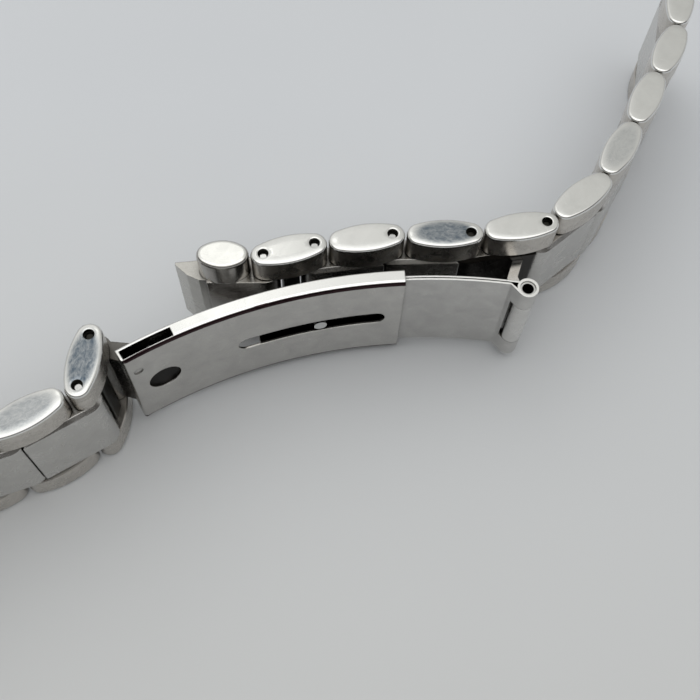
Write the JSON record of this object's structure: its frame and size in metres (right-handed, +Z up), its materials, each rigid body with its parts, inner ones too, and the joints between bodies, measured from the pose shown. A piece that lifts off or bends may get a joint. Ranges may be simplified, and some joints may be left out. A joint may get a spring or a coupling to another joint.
{
  "type": "link watch bracelet",
  "caption": "Three-row link watch bracelet with oval outer links and a sliding folding clasp, open and standing on edge.",
  "frame": {"origin": "on the table, under the middle of the bracelet's plan box", "axes": "+Z up, along the bracelet's width and parallel to every pin; +X along the open clasp, from the short side to the long side; +Y from the wrist side of the clasp's blades to their far side"},
  "size_m": [0.1058, 0.0956, 0.018],
  "materials": {
    "outer_links": "polished with fine scratches",
    "centre_links": "satin",
    "clasp_sheet": "satin sheet with bright edges",
    "spring_leaf": "rolled",
    "pins": "polished"
  },
  "bodies": {
    "clasp_cover": {"clasp_cover": "clasp_sheet", "catch_spring": "spring_leaf", "cover_end_lug": "centre_links"},
    "inner_blade": {"inner_blade": "clasp_sheet", "guide_rivet": "pins", "blade_hinge_tube": "pins"},
    "long_4": {"long_4_outers": "outer_links", "long_4_centre": "centre_links", "long_4_pin": "pins", "blade_lug": "centre_links"},
    "long_5": {"long_5_outers": "outer_links", "long_5_centre": "centre_links", "long_5_pin": "pins"},
    "long_6": {"long_6_outers": "outer_links", "long_6_centre": "centre_links", "long_6_pin": "pins"},
    "long_7": {"long_7_outers": "outer_links", "long_7_centre": "centre_links", "long_7_pin": "pins"},
    "long_8": {"long_8_outers": "outer_links", "long_8_centre": "centre_links", "long_8_pin": "pins"},
    "long_3": {"long_3_outers": "outer_links", "long_3_centre": "centre_links", "long_3_pin": "pins"},
    "long_2": {"long_2_outers": "outer_links", "long_2_centre": "centre_links", "long_2_pin": "pins"},
    "long_1": {"long_1_outers": "outer_links", "long_1_pin": "pins", "tail_hinge_pin": "pins"},
    "long_end": {"long_end_outers": "outer_links", "long_end_centre": "centre_links"},
    "tail_end": {"tail_end_link": "outer_links", "tail_nose": "centre_links"},
    "short_1": {"short_1_outers": "outer_links", "short_1_pin": "pins", "cover_hinge_pin": "pins"},
    "short_2": {"short_2_outers": "outer_links", "short_2_centre": "centre_links", "short_2_pin": "pins"},
    "short_3": {"short_3_outers": "outer_links", "short_3_centre": "centre_links", "short_3_pin": "pins"},
    "short_4": {"short_4_outers": "outer_links", "short_4_centre": "centre_links", "short_4_pin": "pins"},
    "short_5": {"short_5_outers": "outer_links", "short_5_centre": "centre_links", "short_5_pin": "pins"},
    "short_end": {"short_end_outers": "outer_links", "short_end_centre": "centre_links"}
  },
  "joints": [
    {"name": "inner_blade_slide", "type": "hinge", "parent": "clasp_cover", "child": "inner_blade", "pos_m": [0.02276, -0.06486, 0.009], "axis": [0, 0, 1], "range_deg": [-5.9, 7.8]},
    {"name": "clasp_fold", "type": "hinge", "parent": "inner_blade", "child": "long_4", "pos_m": [0.02937, -0.00124, 0.009], "axis": [0, 0, -1], "range_deg": [-2, 125]},
    {"name": "long_5_bend", "type": "hinge", "parent": "long_4", "child": "long_5", "pos_m": [0.03148, 0.0067, 0.009], "axis": [0, 0, -1], "range_deg": [-25, 85]},
    {"name": "long_6_bend", "type": "hinge", "parent": "long_5", "child": "long_6", "pos_m": [0.03806, 0.01284, 0.009], "axis": [0, 0, 1], "range_deg": [-74, 36]},
    {"name": "long_7_bend", "type": "hinge", "parent": "long_6", "child": "long_7", "pos_m": [0.04228, 0.02079, 0.009], "axis": [0, 0, -1], "range_deg": [-51, 59]},
    {"name": "long_8_bend", "type": "hinge", "parent": "long_7", "child": "long_8", "pos_m": [0.04594, 0.02901, 0.009], "axis": [0, 0, 1], "range_deg": [-55, 55]},
    {"name": "long_end_bend", "type": "hinge", "parent": "long_8", "child": "long_end", "pos_m": [0.0496, 0.03723, 0.009], "axis": [0, 0, -1], "range_deg": [-41, 69]},
    {"name": "long_3_bend", "type": "hinge", "parent": "long_4", "child": "long_3", "pos_m": [0.02271, 0.00468, 0.009], "axis": [0, 0, 1], "range_deg": [-47, 2]},
    {"name": "long_2_bend", "type": "hinge", "parent": "long_3", "child": "long_2", "pos_m": [0.01374, 0.00389, 0.009], "axis": [0, 0, -1], "range_deg": [-2.5, 61.8]},
    {"name": "long_1_bend", "type": "hinge", "parent": "long_2", "child": "long_1", "pos_m": [0.00493, 0.00205, 0.009], "axis": [0, 0, 1], "range_deg": [-60.8, 3.5]},
    {"name": "tail_end_bend", "type": "hinge", "parent": "long_1", "child": "tail_end", "pos_m": [-0.00073, 0.00026, 0.009], "axis": [0, 0, -1], "range_deg": [-6, 40.9]},
    {"name": "short_1_bend", "type": "hinge", "parent": "clasp_cover", "child": "short_1", "pos_m": [-0.01836, -0.01105, 0.009], "axis": [0, 0, 1], "range_deg": [-75, 4]},
    {"name": "short_2_bend", "type": "hinge", "parent": "short_1", "child": "short_2", "pos_m": [-0.01857, -0.01699, 0.009], "axis": [0, 0, -1], "range_deg": [-107.9, 2.1]},
    {"name": "short_3_bend", "type": "hinge", "parent": "short_2", "child": "short_3", "pos_m": [-0.02593, -0.02216, 0.009], "axis": [0, 0, 1], "range_deg": [-43.9, 66.1]},
    {"name": "short_4_bend", "type": "hinge", "parent": "short_3", "child": "short_4", "pos_m": [-0.03416, -0.02582, 0.009], "axis": [0, 0, -1], "range_deg": [-43, 67]},
    {"name": "short_5_bend", "type": "hinge", "parent": "short_4", "child": "short_5", "pos_m": [-0.04144, -0.03111, 0.009], "axis": [0, 0, 1], "range_deg": [-69, 41]},
    {"name": "short_end_bend", "type": "hinge", "parent": "short_5", "child": "short_end", "pos_m": [-0.04722, -0.03801, 0.009], "axis": [0, 0, -1], "range_deg": [-41, 69]}
  ]
}
